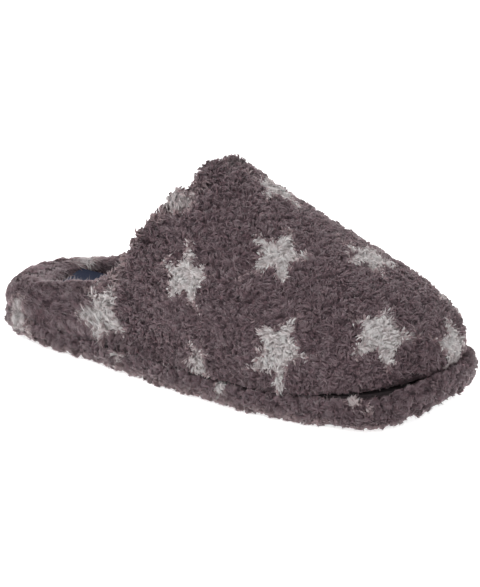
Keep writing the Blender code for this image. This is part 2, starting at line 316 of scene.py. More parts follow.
def starMask(points, normals, name):
    # 0 on the ground colour, 1 inside a star
    turn, notch = math.pi / 5, starPrint["notch"]
    slope = np.array([notch * math.sin(turn), 1 - notch * math.cos(turn)])
    slope /= np.linalg.norm(slope)
    ragged = sum(waves(points, size * mm, seed) * much for size, much, seed in starPrint["ragged"]) * mm
    bottomLight = 1 - easeStep(*starPrint["paintedBottomHeights"], points[:, 2] / mm)
    mask = starPrint["paintedBottomLight"] * bottomLight * (name == "band")
    fade, clear = (edge * mm for edge in starPrint["edge"])
    for pieces, spot, side, up, facing, long, wide in starSeats:
        if name not in pieces:
            continue
        away = (points - spot) / mm
        across, along, depth = away @ side / wide, away @ up / long, away @ facing
        fold = np.abs((np.arctan2(across, along) + turn) % (2 * turn) - turn)
        reach = np.hypot(across, along)
        outside = (reach * np.cos(fold) - 1) * slope[0] + reach * np.sin(fold) * slope[1]
        inside = easeStep(fade, clear, ragged - outside * (long + wide) / 2 * mm)
        inside *= (np.abs(depth) < starPrint["depth"]) & (normals @ facing > 0.05)
        mask = np.maximum(mask, inside)
    for piece, middle, reach, pale in starPrint["patches"]:
        if name != piece:
            continue
        away = np.linalg.norm((points / mm - np.array(middle)) / np.array(reach), axis=1)
        mask = np.maximum(mask, pale * (1 - easeStep(*starPrint["patchEdge"], away + ragged * 0.12 / mm)))
    return mask


def link(name, mesh):
    piece = bpy.data.objects.new(name, mesh)
    bpy.context.scene.collection.objects.link(piece)
    return piece


def softCopy(name, node, pile):
    # a fleece solid remeshed evenly and eased: the cloth that the pile grows on
    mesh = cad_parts[node].data.copy()
    work = bmesh.new()
    work.from_mesh(mesh)
    bmesh.ops.remove_doubles(work, verts=work.verts, dist=0.02 * mm)
    work.to_mesh(mesh)
    work.free()
    piece = link(name, mesh)
    even = piece.modifiers.new("even", "REMESH")
    even.mode, even.voxel_size = "VOXEL", pile["grain"] * mm
    ease = piece.modifiers.new("ease", "SMOOTH")
    ease.factor, ease.iterations = 0.5, pile["ease"]
    graph = bpy.context.evaluated_depsgraph_get()
    made = bpy.data.meshes.new_from_object(piece.evaluated_get(graph))
    piece.modifiers.clear()
    piece.data = made
    made.name = name
    made.materials.clear()
    made.shade_smooth()
    return piece


def readBase(piece):
    mesh = piece.data
    points = np.empty(len(mesh.vertices) * 3, np.float32)
    normals = np.empty(len(mesh.vertices) * 3, np.float32)
    mesh.vertices.foreach_get("co", points)
    mesh.vertex_normals.foreach_get("vector", normals)
    mesh.calc_loop_triangles()
    corners = np.empty(len(mesh.loop_triangles) * 3, np.int32)
    mesh.loop_triangles.foreach_get("vertices", corners)
    return points.reshape(-1, 3).astype(float), normals.reshape(-1, 3).astype(float), corners.reshape(-1, 3)


def skinTree(piece):
    points, _, corners = readBase(piece)
    return BVHTree.FromPolygons(points.tolist(), corners.tolist())


def distanceTo(name, points, reach=9.0):
    # mm from each point to the named piece, up to reach
    near = np.full(len(points), reach)
    for index, point in enumerate(points.tolist()):
        hit = skins[name].find_nearest(point, reach * mm)
        if hit[0] is not None:
            near[index] = min(reach, hit[3] / mm)
    return near


def writeMarks(mesh, **marks):
    for name, values in marks.items():
        layer = mesh.attributes.new(name, "FLOAT", "POINT")
        layer.data.foreach_set("value", np.asarray(values, np.float32))


def scatter(points, corners, weight, count, dice):
    # count spots spread evenly over the faces, more where weight is larger: face and three shares of its corners
    a, b, c = (points[corners[:, i]] for i in range(3))
    size = np.linalg.norm(np.cross(b - a, c - a), axis=1) * weight[corners].mean(1)
    total = np.cumsum(size)
    at = (np.arange(count) + dice.uniform(0, 1, count)) * total[-1] / count
    face = np.minimum(np.searchsorted(total, at), len(total) - 1)
    first, second = dice.uniform(0, 1, (2, count))
    turned = first + second > 1
    first[turned], second[turned] = 1 - first[turned], 1 - second[turned]
    return face, np.stack([1 - first - second, first, second], 1)


def blendAt(values, corners, face, shares):
    if values.ndim == 1:
        return (values[corners[face]] * shares).sum(1)
    return (values[corners[face]] * shares[:, :, None]).sum(1)


def spaced(spots, gap):
    # keeps spots that are at least gap apart
    cells, kept = {}, []
    keys = np.floor(spots / gap).astype(int)
    near = [(i, j, k) for i in (-1, 0, 1) for j in (-1, 0, 1) for k in (-1, 0, 1)]
    limit = gap * gap
    for index, (spot, key) in enumerate(zip(spots.tolist(), keys.tolist())):
        others = (other for i, j, k in near for other in cells.get((key[0] + i, key[1] + j, key[2] + k), ()))
        if all(sum((p - q) ** 2 for p, q in zip(spot, other)) >= limit for other in others):
            kept.append(index)
            cells.setdefault(tuple(key), []).append(spot)
    return np.array(kept)


def treeOf(spots):
    tree = KDTree(len(spots))
    for index, spot in enumerate(spots):
        tree.insert(spot, index)
    tree.balance()
    return tree


def nearestTwo(tree, points):
    found = [tree.find_n(point, 2) for point in points]
    first = np.array([pair[0][1] for pair in found])
    gaps = np.array([[pair[0][2], pair[-1][2]] for pair in found])
    return first, gaps


def aboveFloor(height):
    # pile that hangs under the sole is pressed flat by the floor
    return np.where(height > 1.2 * mm, height, (0.25 + 0.95 * np.exp(np.minimum(height / mm - 1.2, 0) / 0.95)) * mm)


# what all pile has in common
curls = {
    "spacing": 0.86,  # least distance of two curls, as a share of the piece's own
    "tries": 5,
    "crease": 0.55,  # how wide the creases between them are
    "plump": (0.45, 1.35),
    "sunk": 0.6,
    "length": (0.72, 1.45),  # how much longer or shorter one curl's strands are than the next one's
}
strands = {
    "softness": 0.88,  # how far a strand is shaded like the cloth under it
    "margin": 0.12,  # round each strand's cell of the sheet that a bake fills
    "most": 195000,  # triangles in one piece
    "height": (0.7, 1.25),
    "length": (0.7, 1.2),
    "thick": (0.75, 1.2),
    "tipHeight": (0.55, 1.1),
    "fuzzLength": (0.5, 1.15),
    "edgeDrop": 0.4,  # how much lower strands stand at the edge of their curl
    "bend": (0.9, 0.38),  # where a strand bends over: share of its height and of its length
    "taper": 0.92,
    "rise": (0.34, 0.52, 0.62),  # painted shade and painted highlight: how light the root, the bend and the tip are painted, darkest at the root
    # painted shade at a loose fibre's root and a painted highlight at its tip
    "fuzzRise": (0.45, 0.95),
}


def strandMesh(name, spine, tip, radii, skin, marks, finish):
    # a strand has a ring of three points at every place of its spine, and one point at its tip
    count, rings = len(tip), len(spine)
    size = 3 * rings + 1
    ahead = [*spine[1:], tip]
    verts = np.empty((count, size, 3))
    faces, flat = [], []
    for r, (here, there) in enumerate(zip(spine, ahead)):
        way = unit(there - here)
        if r == 0:
            helper = np.where(np.abs(way[:, 2:]) < 0.8, [upright], [forward])
            side = unit(np.cross(way, helper))
            other = np.cross(way, side)
        low, high = r / rings, (r + 1) / rings
        for k in range(3):
            turn = 2 * math.pi * k / 3
            verts[:, 3 * r + k] = here + (side * math.cos(turn) + other * math.sin(turn)) * radii[r][:, None]
            n, left, right = (k + 1) % 3, k / 3, (k + 1) / 3
            if r < rings - 1:
                faces += [(3 * r + k, 3 * r + n, 3 * r + 3 + n), (3 * r + k, 3 * r + 3 + n, 3 * r + 3 + k)]
                flat += [((left, low), (right, low), (right, high)), ((left, low), (right, high), (left, high))]
            else:
                faces.append((3 * r + k, 3 * r + n, size - 1))
                flat.append(((left, low), (right, low), ((left + right) / 2, 1.0)))
    verts[:, -1] = tip
    verts[:, :, 2] = aboveFloor(verts[:, :, 2])
    loops = (np.array(faces).reshape(1, -1) + np.arange(count)[:, None] * size).ravel()
    mesh = bpy.data.meshes.new(name)
    mesh.vertices.add(count * size)
    mesh.vertices.foreach_set("co", verts.astype(np.float32).ravel())
    mesh.loops.add(len(loops))
    mesh.loops.foreach_set("vertex_index", loops.astype(np.int32))
    mesh.polygons.add(count * len(faces))
    mesh.polygons.foreach_set("loop_start", np.arange(0, len(loops), 3, dtype=np.int32))
    # every strand has its own cell of the sheet that a bake fills
    across, margin = math.ceil(math.sqrt(count)), strands["margin"]
    cell = np.stack([np.arange(count) % across, np.arange(count) // across], 1)[:, None, :]
    sheet = mesh.uv_layers.new(name="OFBake")
    places = (cell + margin + (1 - 2 * margin) * np.array(flat).reshape(1, -1, 2)) / across
    sheet.data.foreach_set("uv", places.astype(np.float32).ravel())
    mesh.update()
    mesh.shade_smooth()
    # shaded mostly as the cloth under it, which keeps the pile soft
    own = np.empty(count * size * 3, np.float32)
    mesh.vertex_normals.foreach_get("vector", own)
    softness = strands["softness"]
    eased = unit(own.reshape(-1, size, 3) * (1 - softness) + skin[:, None, :] * softness)
    mesh.normals_split_custom_set_from_vertices(eased.reshape(-1, 3).tolist())
    writeMarks(mesh, **marks)
    mesh.materials.append(finish)
    return link(name, mesh)


def strandPieces(name, spine, tip, radii, skin, rise, tone, star, finish):
    # parts of a pile from heel to toe, each under the limit for one piece
    size = 3 * len(spine) + 1
    most = strands["most"] // (6 * len(spine) - 3)
    order = np.argsort(tip[:, 0])
    total = math.ceil(len(tip) / most)
    parts = []
    for part, some in enumerate(np.array_split(order, total), 1):
        marks = {
            "rise": np.stack([step[some] for step in rise], 1).ravel(),
            "tone": np.repeat(tone[some], size),
            "star": np.repeat(star[some], size),
        }
        label = name if total == 1 else f"{name}_{part}"
        places = [place[some] for place in spine]
        widths = [radius[some] for radius in radii]
        parts.append(strandMesh(label, places, tip[some], widths, skin[some], marks, finish))
    return parts


def quilt(points, normals, corners, weight, pile, seed):
    # sets the curls' middles and raises the cloth into small domes between dark creases
    dice = np.random.default_rng(seed)
    gap = pile["curl"] * mm
    a, b, c = (points[corners[:, i]] for i in range(3))
    area = np.linalg.norm(np.cross(b - a, c - a), axis=1).sum() / 2
    face, shares = scatter(points, corners, np.ones(len(points)), int(area / gap**2 * curls["tries"]), dice)
    order = dice.permutation(len(face))
    spots = blendAt(points, corners, face[order], shares[order])
    middles = spots[spaced(spots, gap * curls["spacing"])]
    tree = treeOf(middles)
    first, gaps = nearestTwo(tree, points)
    dome = easeStep(0.0, curls["crease"] * gap, gaps[:, 1] - gaps[:, 0])
    plump = dice.uniform(*curls["plump"], len(middles))[first]
    raised = points + normals * ((dome * plump - curls["sunk"]) * pile["dome"] * mm * weight)[:, None]
    return raised, dome, middles, tree


def growPile(name, base, pile, seed, finish):
    points, normals, corners = base["points"], base["normals"], base["corners"]
    count = pile["strands"]
    dice = np.random.default_rng(seed)
    weight = base["weight"] * (pile["pits"] + (1 - pile["pits"]) * base["dome"])
    face, shares = scatter(points, corners, weight, count, dice)
    root = blendAt(points, corners, face, shares)
    normal = unit(blendAt(normals, corners, face, shares))
    comb, long, shade, rough = (
        blendAt(base[mark], corners, face, shares) for mark in ("comb", "long", "shade", "rough")
    )
    # strands of one curl lie much the same way
    first, _ = nearestTwo(base["tree"], root)
    middles = base["middles"]
    radial = intoSkin(root - middles[first], normal)
    share = np.clip(np.linalg.norm(radial, axis=1) / (0.6 * pile["curl"] * mm), 0, 1)
    radial = unit(radial)
    curlDice = np.random.default_rng(seed + 5)
    curlWay = unit(curlDice.normal(size=(len(middles), 3)))[first]
    spin = np.where(curlDice.uniform(size=len(middles)) < 0.5, -1.0, 1.0)[first]
    curlTone = curlDice.normal(size=len(middles))[first]
    loose = dice.normal(size=(count, 3))
    lean = (
        intoSkin(curlWay, normal) * pile["clump"]
        + np.cross(normal, radial) * spin[:, None] * pile["swirl"]
        + radial * pile["spread"]
        + intoSkin(loose, normal) * pile["loose"]
        + comb
    )
    lean = unit(intoSkin(lean, normal))
    long = long * curlDice.uniform(*curls["length"], len(middles))[first]
    edgeDrop = 1 - strands["edgeDrop"] * share**2
    height = pile["height"] * mm * dice.uniform(*strands["height"], count) * edgeDrop * long
    length = pile["length"] * mm * dice.uniform(*strands["length"], count) * long
    thick = pile["thick"] * mm * dice.uniform(*strands["thick"], count)
    bendHigh, bendLong = strands["bend"]
    start = root - normal * pile["sunk"] * mm
    bend = root + normal * height[:, None] * bendHigh + lean * length[:, None] * bendLong
    tipHigh = height * dice.uniform(*strands["tipHeight"], count)
    tip = root + normal * tipHigh[:, None] + lean * length[:, None]
    streaks = waves(root * np.array([0.25, 1.0, 1.0]), 1.7 * mm, seed + 6) * pile["streak"]
    tone = np.clip(0.6 * curlTone + 0.25 * dice.normal(size=count) + streaks, -2.5, 2.5)
    astray = intoSkin(dice.normal(size=(count, 3)), normal) * starPrint["stray"] * mm
    star = starMask(root + normal * 0.5 * mm + astray, normal, name)
    # painted shade: strands towards a curl's edge, in deeper curls and by seams are painted darker
    paintedShade = (1 - np.clip(pile["hollow"] * rough, 0, 0.95) * share**2) * shade
    atRoot, atBend, atTip = (light * paintedShade for light in strands["rise"])
    rise = [atRoot] * 3 + [atBend] * 3 + [atTip]
    widths = [thick, thick * strands["taper"]]
    parts = strandPieces(f"{name}_pile", [start, bend], tip, widths, normal, rise, tone, star, finish)
    # loose fibres that stand a little proud and soften the outline; their tips are painted pale, a painted highlight
    # along the outline, and their roots take the painted shade
    some = dice.permutation(count)[: pile["fuzz"]]
    wild = unit(normal[some] * 0.9 + lean[some] * 0.5 + dice.normal(size=(len(some), 3)) * 0.45)
    reach = pile["fuzzLength"] * mm * dice.uniform(*strands["fuzzLength"], len(some))
    reach = reach * long[some] * (0.3 + 0.7 * shade[some])
    ends = root[some] + normal[some] * height[some, None] * 0.5 + wild * reach[:, None]
    fine = np.full(len(some), pile["fuzzThick"] * mm)
    atRoot, atTip = strands["fuzzRise"]
    marks = ([atRoot * shade[some]] * 3 + [np.full(len(some), atTip)], tone[some], star[some])
    parts += strandPieces(f"{name}_fuzz", [root[some]], ends, [fine], normal[some], *marks, finish)
    return parts


def fleeceBase(piece, pile, seed, weigh, settle, **marks):
    # the cloth set in its place and quilted, with what its pile follows: comb, long, dim, rough and seam
    points, normals, corners = readBase(piece)
    weight = weigh(points, normals)
    comb = marks["comb"](points, normals) if "comb" in marks else np.zeros_like(points)
    long, shade, rough = (
        marks[key](points, normals) if key in marks else np.ones(len(points)) for key in ("long", "dim", "rough")
    )
    seated = settle(points, normals)
    swell = waves(points, 24 * mm, seed + 3) * 0.3 - pile["inset"]
    seated = seated + normals * (swell * mm * np.clip(weight, 0, 1))[:, None]
    if "seam" in marks:
        # the pile thins out and sinks where two pieces are sewn together, and is painted darker there, a painted
        # shadow in the crease
        gap, width = marks["seam"](points, normals)
        seated = seated - shove(normals, (1 - easeStep(0, 3.2 * width, gap)) * 1.1)
        weight = weight * (0.06 + 0.94 * easeStep(0.25 * width, 1.6 * width, gap))
        shade = shade * (0.10 + 0.90 * easeStep(0.3 * width, 2.4 * width, gap))
        long = long * (0.55 + 0.45 * easeStep(0.5 * width, 2.5 * width, gap))
    raised, dome, middles, tree = quilt(seated, normals, corners, np.clip(weight, 0.25, 1) * rough, pile, seed)
    raised[:, 2] = aboveFloor(raised[:, 2])
    return {
        "points": raised,
        "normals": normals,
        "corners": corners,
        "weight": weight,
        "dome": dome,
        "middles": middles,
        "tree": tree,
        "comb": comb,
        "long": long,
        "shade": shade,
        "rough": rough,
    }


def dressBase(name, piece, base, finish):
    # the cloth takes its new form
    mesh = piece.data
    mesh.vertices.foreach_set("co", base["points"].astype(np.float32).ravel())
    # painted shade: the cloth under the pile is painted dark, darker in the creases between curls and by seams
    writeMarks(
        mesh,
        rise=(0.06 + 0.30 * base["dome"]) * base["shade"],
        tone=np.zeros(len(base["points"])),
        star=starMask(base["points"], base["normals"], name),
    )
    mesh.materials.append(finish)
    mesh.update()


def rideAll(pieces, node):
    for piece in pieces:
        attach(piece, "root")
    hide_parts(node)


# where the vamp and the heel roll sag out over the band, fading in the front half of the vamp
sag = {
    "seamHeight": 15.9,
    "outHeights": (1.0, 12.0),  # above the seam
    "downHeights": (0.0, 16.0),
    "heel": (-114, -94),
    "heelDown": (-108, -94),
    "front": (52, 92),
    "hangHeights": (18, 25),  # the pile hides the seam below these heights, between these places
    "hangBack": (-118, -100),
    "hangFront": (-30, 14),
}


def seamPuff(points):
    x = points[:, 0] / mm
    return (0.75 + 0.25 * easeStep(*sag["heel"], x)) * (1 - easeStep(*sag["front"], x))


def sagOver(points, normals, outside, out, down):
    above = points[:, 2] / mm - sag["seamHeight"]
    share = seamPuff(points) * outside * (1 - easeStep(*sag["outHeights"], above))
    flat = np.stack([normals[:, 0], normals[:, 1], 0 * normals[:, 0]], 1)
    back = easeStep(*sag["heelDown"], points[:, 0] / mm)
    drop = upright * (back * (1 - easeStep(*sag["downHeights"], above)))[:, None]
    return shove(unit(flat), share * out) - shove(drop, seamPuff(points) * outside * down)


def overSeam(points):
    x, _, z = points.T / mm
    low = 1 - easeStep(*sag["hangHeights"], z)
    return low * easeStep(*sag["hangBack"], x) * (1 - easeStep(*sag["hangFront"], x))


teddyPile = {
    "grain": 1.6,  # mm between the cloth's own points
    "ease": 5,  # rounds of smoothing
    "inset": 0.8,  # mm that the cloth lies under the solid's surface, which the pile then fills
    "curl": 3.1,  # mm from one curl to the next
    "dome": 1.4,  # mm that a curl stands up
    "height": 1.15,
    "length": 2.4,
    "thick": 0.54,
    "sunk": 0.6,
    "clump": 1.0,  # how far the strands of a curl lie one way, turn round it, and spread from its middle
    "swirl": 0.35,
    "spread": 0.25,
    "loose": 0.2,
    "pits": 0.3,  # how much pile stays between the curls
    "hollow": 0.6,  # painted shade: how much darker the pile is painted there
    "streak": 0.0,  # how much lighter and darker locks run along the pile
    "strands": 43000,
    "fuzz": 22000,
    "fuzzLength": 2.6,
    "fuzzThick": 0.13,
}

vamp = {
    "pile": teddyPile,
    # outside and lining are told apart from a line along the shoe: mm that it is seen from behind, its y and its z
    "axis": (18, -1, 26),
    "hiddenHeights": (15.5, 19),
    "lining": 0.35,  # share of the pile inside, thinning out between these places
    "liningEnd": (45, 5),
    # the collar's edge gives way: height and mm towards the toe
    "collar": [
        (34, -6.5),
        (42, -5.5),
        (50, 0.0),
        (57, 3.8),
        (63, 4.6),
        (71, 5.0),
        (76, 4.4),
        (82, 3.2),
        (87, 2.2),
        (92, 4.2),
        (97, 2.2),
        (104, 2.6),
        (110, 2.6),
    ],
    "collarHeights": (22, 38),
    "collarReach": (0, 26),
    "collarDip": 0.25,
    "crestDrop": 2.6,  # mm that the collar's top sinks between its tufts
    "crestHeights": (97, 106),
    "crestReach": (8, 20),
    "foldDepth": 2.0,  # the soft fold in front of the collar's top
    "foldPlace": (12, 3.2),
    "foldHeights": (84, 97),
    "lump": 1.1,  # uneven lumps along the collar's edge, calmer on the inner side
    "lumpSize": 7,
    "lumpReach": (4, 13),
    "lumpHeights": (30, 44),
    "lumpCalm": 0.65,
    "calmSide": (12, 30),
    "tufts": [  # place, reach and rise in mm
        ((-11.5, -0.5, 107.5), 5.5, 4.4),
        ((-9.0, 12.5, 108.0), 4.5, -2.6),
        ((-6.0, 22.0, 105.0), 6.0, 1.4),
        ((-18.5, -20.0, 95.0), 5.0, 1.2),
    ],
    "sagOut": 3.6,
    "sagDown": 2.6,
    "deeper": 0.55,  # deeper curls near the collar, their creases also painted darker: painted shade
    "deeperReach": (12, 46),
    "hang": -1.6,
    "rimLong": 0.35,
    "rimReach": (3, 12),
    "crestLong": 0.35,
    "crestLongReach": (4, 12),
    "crestLongHeights": (80, 100),
    "hangLong": 0.6,
    "seamBelow": 42,
    # mm that the pile thins out over, and is painted darker as a painted shadow in the crease, beside the seam to the
    # band
    "seamStart": 0.1,
    "seam": [(0.3, easeStep, -30, 20), (2.0, easeStep, 60, 108), (0.6, hump, 34, 14), (1.1, easeStep, 98, 114)],
}


def vampOutside(points, normals):
    back, side, height = (v * mm for v in vamp["axis"])
    x = points[:, 0]
    axis = np.stack([x - back, np.full_like(x, side), np.full_like(x, height)], 1)
    return easeStep(-0.25, 0.25, (unit(points - axis) * normals).sum(1))


def vampWeight(points, normals):
    # full pile outside, short and thin inside, none on the hidden foot
    outside = vampOutside(points, normals)
    low, high = vamp["hiddenHeights"]
    hidden = 1 - easeStep(low * mm, high * mm, points[:, 2])
    thin, full = vamp["liningEnd"]
    lining = vamp["lining"] * easeStep(thin * mm, full * mm, points[:, 0])
    return np.maximum(outside * (1 - hidden), lining * (1 - outside)) + 0.001


def collarEdge(points):
    # mm from the collar's edge, measured towards the toe
    x, _, z = points.T / mm
    height = np.round(z / 3).astype(int)
    table = np.full(height.max() + 2, 60.0)
    np.minimum.at(table, height, x)
    return x - np.interp(z / 3, np.arange(len(table)), table)


def vampSettle(points, normals):
    edge = collarEdge(points)
    height = points[:, 2] / mm
    outside = vampOutside(points, normals)
    back = np.interp(height, *zip(*vamp["collar"])) * easeStep(*vamp["collarHeights"], height)
    back = back * (1 - easeStep(*vamp["collarReach"], edge))
    moved = points + np.stack([back, 0 * back, -vamp["collarDip"] * back], 1) * mm
    fold = hump(*vamp["foldPlace"], edge) * easeStep(*vamp["foldHeights"], height) * outside
    moved -= shove(normals, fold * vamp["foldDepth"])
    crest = easeStep(*vamp["crestHeights"], height) * (1 - easeStep(*vamp["crestReach"], edge))
    moved -= shove(upright, crest * vamp["crestDrop"])
    moved += sagOver(points, normals, outside, vamp["sagOut"], vamp["sagDown"])
    lumps = waves(points, vamp["lumpSize"] * mm, 131) * vamp["lump"] * (1 - easeStep(*vamp["lumpReach"], edge))
    lumps = lumps * easeStep(*vamp["lumpHeights"], height)
    lumps *= 1 - vamp["lumpCalm"] * easeStep(*vamp["calmSide"], points[:, 1] / mm)
    moved += shove(normals, lumps)
    for place, reach, rise in vamp["tufts"]:
        away = np.linalg.norm(points - np.array(place) * mm, axis=1) / mm
        moved += shove(normals, hump(0, reach, away) * rise)
    return moved


def vampRough(points, normals):
    return 1 + vamp["deeper"] * (1 - easeStep(*vamp["deeperReach"], collarEdge(points)))


def vampComb(points, normals):
    return intoSkin(overSeam(points)[:, None] * np.array([[0.2, 0.0, vamp["hang"]]]), normals)


def vampLong(points, normals):
    edge = collarEdge(points)
    crest = vamp["crestLong"] * (1 - easeStep(*vamp["crestLongReach"], edge))
    crest = crest * easeStep(*vamp["crestLongHeights"], points[:, 2] / mm)
    rim = crest + vamp["rimLong"] * (1 - easeStep(*vamp["rimReach"], edge))
    return 1 + rim + vamp["hangLong"] * overSeam(points)


def vampSeam(points, normals):
    low = points[:, 2] < vamp["seamBelow"] * mm
    gap = np.full(len(points), 9.0)
    gap[low] = distanceTo("band", points[low])
    return gap, profile(vamp["seamStart"], vamp["seam"], points[:, 0] / mm)


band = {
    "pile": dict(teddyPile, grain=1.4, ease=4, curl=3.8, dome=1.9, thick=0.56, inset=0.7, strands=19500, fuzz=12000),
    "bottom": (0.6, 2.2),  # heights between which the pile starts
    "sinks": 2.6,  # mm that the upper edge gives way under the vamp
    "sinkHeights": (9, 15.6),
    "sinkFrom": (-108, -94),
    "toeRise": 4.0,  # it stands up round the toe
    "toe": (108, 124),
    "toeHeights": (4, 15),
    "heelRise": 2.8,  # its lower edge draws in under the heel
    "heel": (-84, -108),
    "heelHeights": (5, 13),
    "cornerDrop": 1.4,  # and bulges low at the outer side of the toe
    "cornerDropPlace": (107, 11),
    "cornerDropHeights": (5, 12),
    "cornerOut": 4.4,
    "cornerOutPlace": (106, 11),
    "cornerOutHeights": (6, 13),
    "out": [(0.8, easeStep, 100, 122), (-1.6, easeStep, -108, -124)],
    "seamAbove": 9,
    "heelSeamBehind": -104,  # behind this the seam is the heel roll's
    # mm that the pile thins out over, and is painted darker as a painted shadow in the crease, beside the seam to the
    # vamp
    "seamStart": 0.2,
    "seam": [(1.3, easeStep, 66, 112), (0.4, hump, 34, 14), (0.05, easeStep, -104, -116)],
}


def bandWeight(points, normals):
    x, y, z = points.T
    away = unit(np.stack([x * 0.35, y, np.zeros_like(x)], 1))
    outward = (away * normals).sum(1)
    low, high = band["bottom"]
    bare = easeStep(low * mm, high * mm, z)
    return easeStep(-0.15, 0.2, outward + 0.25 * (normals[:, 2] > 0.5)) * bare + 0.001


def bandSettle(points, normals):
    x, z = points[:, 0] / mm, points[:, 2] / mm
    outer = points[:, 1] < 0
    lift = -band["sinks"] * easeStep(*band["sinkHeights"], z) * seamPuff(points) * easeStep(*band["sinkFrom"], x)
    lift = lift + band["toeRise"] * easeStep(*band["toeHeights"], z) * easeStep(*band["toe"], x)
    lift += band["heelRise"] * easeStep(*band["heel"], x) * (1 - easeStep(*band["heelHeights"], z))
    corner = band["cornerDrop"] * hump(*band["cornerDropPlace"], x) * outer
    lift -= corner * (1 - easeStep(*band["cornerDropHeights"], z))
    moved = points + shove(upright, lift)
    flat = unit(np.stack([normals[:, 0], normals[:, 1], 0 * x], 1))
    corner = band["cornerOut"] * hump(*band["cornerOutPlace"], x) * outer
    out = profile(0, band["out"], x) + corner * (1 - easeStep(*band["cornerOutHeights"], z))
    return moved + shove(flat, out * np.linalg.norm(normals[:, :2], axis=1))


def bandSeam(points, normals):
    high = (points[:, 2] > band["seamAbove"] * mm) & (normals[:, 2] > -0.3)
    x = points[:, 0] / mm
    gap = np.full(len(points), 9.0)
    gap[high] = distanceTo("vamp", points[high])
    back = high & (x < band["heelSeamBehind"])
    gap[back] = distanceTo("heel_roll", points[back])
    return gap, profile(band["seamStart"], band["seam"], x)


heelRoll = {
    "pile": dict(
        teddyPile,
        grain=1.3,
        ease=4,
        inset=1.3,
        curl=4.2,
        dome=0.9,
        height=0.9,
        length=4.2,
        thick=0.32,
        clump=0.35,
        swirl=0.1,
        spread=0.05,
        loose=0.25,
        pits=0.8,
        streak=1.5,
        strands=13500,
        fuzz=6000,
        fuzzLength=2.2,
    ),
    "bottom": (15.5, 18),
    "middle": -95,  # x of the bend of the heel
    "press": 3.0,  # mm that its ends press into the vamp
    "pressFrom": (-72, -52),
    "side": (1.3, -1.0),  # mm sideways, outer and inner side
    "sideHeights": (28, 36),
    "padding": 11.0,  # mm that its inner side is padded out at the back
    "paddingFrom": (-96, -114),
    "paddingHeights": (17, 22),
    "sagOut": 4.0,
    "sagDown": 2.6,
    "nap": (1.0, 0.25, -0.35),  # towards the toe, outwards, and down
    "napSwing": 0.5,
    "napStrength": 1.1,
    "hang": -1.6,
    "hangLong": 0.15,
    "paintedLight": 0.9,  # painted light: how much lighter the inner side is painted, where the roll shades it
    "paintedLightHeights": (24, 33),
    "seamBelow": 30,
    "seamBehind": -100,
    # mm that the pile thins out over, and is painted darker as a painted shadow in the crease, beside the seam to the
    # band
    "seamStart": 0.02,
    "seam": [(0.1, easeStep, -104, -116)],
}


def heelOutside(points, normals):
    x, y = points[:, 0] - heelRoll["middle"] * mm, points[:, 1]
    away = unit(np.stack([np.minimum(x, 0), y, 0 * y], 1))
    return easeStep(-0.2, 0.3, (away * normals).sum(1))


def heelWeight(points, normals):
    low, high = heelRoll["bottom"]
    return easeStep(low * mm, high * mm, points[:, 2]) + 0.001


def heelSettle(points, normals):
    x, z = points[:, 0] / mm, points[:, 2] / mm
    outside = heelOutside(points, normals)
    side = np.where(points[:, 1] < 0, *heelRoll["side"]) * easeStep(*heelRoll["sideHeights"], z)
    press = np.stack([heelRoll["press"] * easeStep(*heelRoll["pressFrom"], x), 0 * x, side], 1) * mm
    padding = heelRoll["padding"] * easeStep(*heelRoll["paddingFrom"], x) * (1 - outside)
    padding = padding * easeStep(*heelRoll["paddingHeights"], z)
    sagged = sagOver(points, normals, outside, heelRoll["sagOut"], heelRoll["sagDown"])
    return points + press + shove(forward, padding) + sagged


def heelPaintedLight(points, normals):
    # painted light on the roll's shaded inner side
    high = easeStep(*heelRoll["paintedLightHeights"], points[:, 2] / mm)
    return 1 + heelRoll["paintedLight"] * (1 - heelOutside(points, normals)) * high


def heelLong(points, normals):
    return 1 + heelRoll["hangLong"] * overSeam(points)


def heelComb(points, normals):
    # nap lies along the roll and a little down, as if stroked towards the toe
    ahead, out, down = heelRoll["nap"]
    way = np.stack([np.full(len(points), ahead), out * np.sign(points[:, 1]), np.full(len(points), down)], 1)
    swing = waves(points, 14 * mm, 71)[:, None] * (upright * heelRoll["napSwing"])
    hang = overSeam(points)[:, None] * (upright * heelRoll["hang"])
    return intoSkin(way + swing + hang, normals) * heelRoll["napStrength"]


def heelSeam(points, normals):
    outer = (points[:, 2] < heelRoll["seamBelow"] * mm) & (points[:, 0] < heelRoll["seamBehind"] * mm)
    gap = np.full(len(points), 9.0)
    gap[outer] = distanceTo("band", points[outer])
    return gap, profile(heelRoll["seamStart"], heelRoll["seam"], points[:, 0] / mm)


footbed = {
    "pile": dict(teddyPile, grain=2.2, ease=4, inset=0.3, curl=3.0, height=0.9, length=1.9, strands=4500, fuzz=300),
    "toeShare": 0.3,  # share of the pile that is left out of sight in the toe
    "thins": (60, 20),
    "rise": 4.0,  # mm that the lining rises to the roll at the back of the heel
    "riseFrom": (-115, -106),
    "riseHeights": (18, 22),
    "dark": 0.95,  # and how much darker it is painted in that corner: painted shadow inside the heel
    "paintedShadeFrom": (-120, -112),
}


def footbedWeight(points, normals):
    start, full = footbed["thins"]
    share = footbed["toeShare"]
    along = share + (1 - share) * easeStep(start * mm, full * mm, points[:, 0])
    return easeStep(0.2, 0.6, normals[:, 2]) * along + 0.001


def footbedSettle(points, normals):
    back = 1 - easeStep(*footbed["riseFrom"], points[:, 0] / mm)
    return points + shove(upright, footbed["rise"] * back * easeStep(*footbed["riseHeights"], points[:, 2] / mm))


def footbedPaintedShade(points, normals):
    # painted shadow: the footbed is painted dark towards the heel opening
    return 1 - footbed["dark"] * easeStep(*footbed["paintedShadeFrom"], points[:, 0] / mm)


